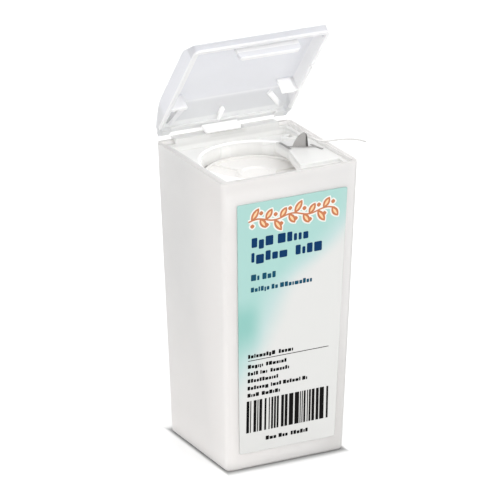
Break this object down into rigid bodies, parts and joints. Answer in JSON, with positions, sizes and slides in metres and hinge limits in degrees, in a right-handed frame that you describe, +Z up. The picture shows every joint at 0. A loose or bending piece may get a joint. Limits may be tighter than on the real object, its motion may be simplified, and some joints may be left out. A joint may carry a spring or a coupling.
{
  "type": "dental floss dispenser",
  "caption": "Tapered box with a flip-open lid on a film hinge, a cap base with a steel thread cutter and an eyelet, and a spool of floss that turns inside.",
  "frame": {"origin": "middle of the underside of the box, where it stands", "axes": "+Z up to the lid, -Y out of the labelled front, +X to the right seen from the front"},
  "size_m": [0.0497, 0.0392, 0.1111],
  "materials": {
    "frosted_plastic": "frosted, natural polypropylene",
    "clear_plastic": "smooth, translucent polypropylene",
    "spool_plastic": "satin white polystyrene",
    "steel": "stamped stainless steel",
    "label_film": "printed film",
    "floss": "waxed nylon"
  },
  "bodies": {
    "box": {"box_body": "frosted_plastic", "cap_base": "frosted_plastic", "cutter": "steel", "front_label": "label_film", "hinge_web_left": "clear_plastic", "hinge_web_right": "clear_plastic", "hinge_strap": "clear_plastic", "floss_feed": "floss", "floss_tail": "floss"},
    "lid": {"lid": "clear_plastic"},
    "spool": {"spool_core": "spool_plastic", "spool_upper_flange": "spool_plastic", "floss_winding": "floss"}
  },
  "joints": [
    {"name": "lid_hinge", "type": "hinge", "parent": "box", "child": "lid", "pos_m": [0, 0.02005, 0.08045], "axis": [-1, 0, 0], "range_deg": [-52, 128], "deforming": ["hinge_web_left", "hinge_web_right", "hinge_strap"]},
    {"name": "spool_spin", "type": "hinge", "parent": "box", "child": "spool", "pos_m": [0, 0, 0], "axis": [0, 0, 1], "continuous": true}
  ]
}
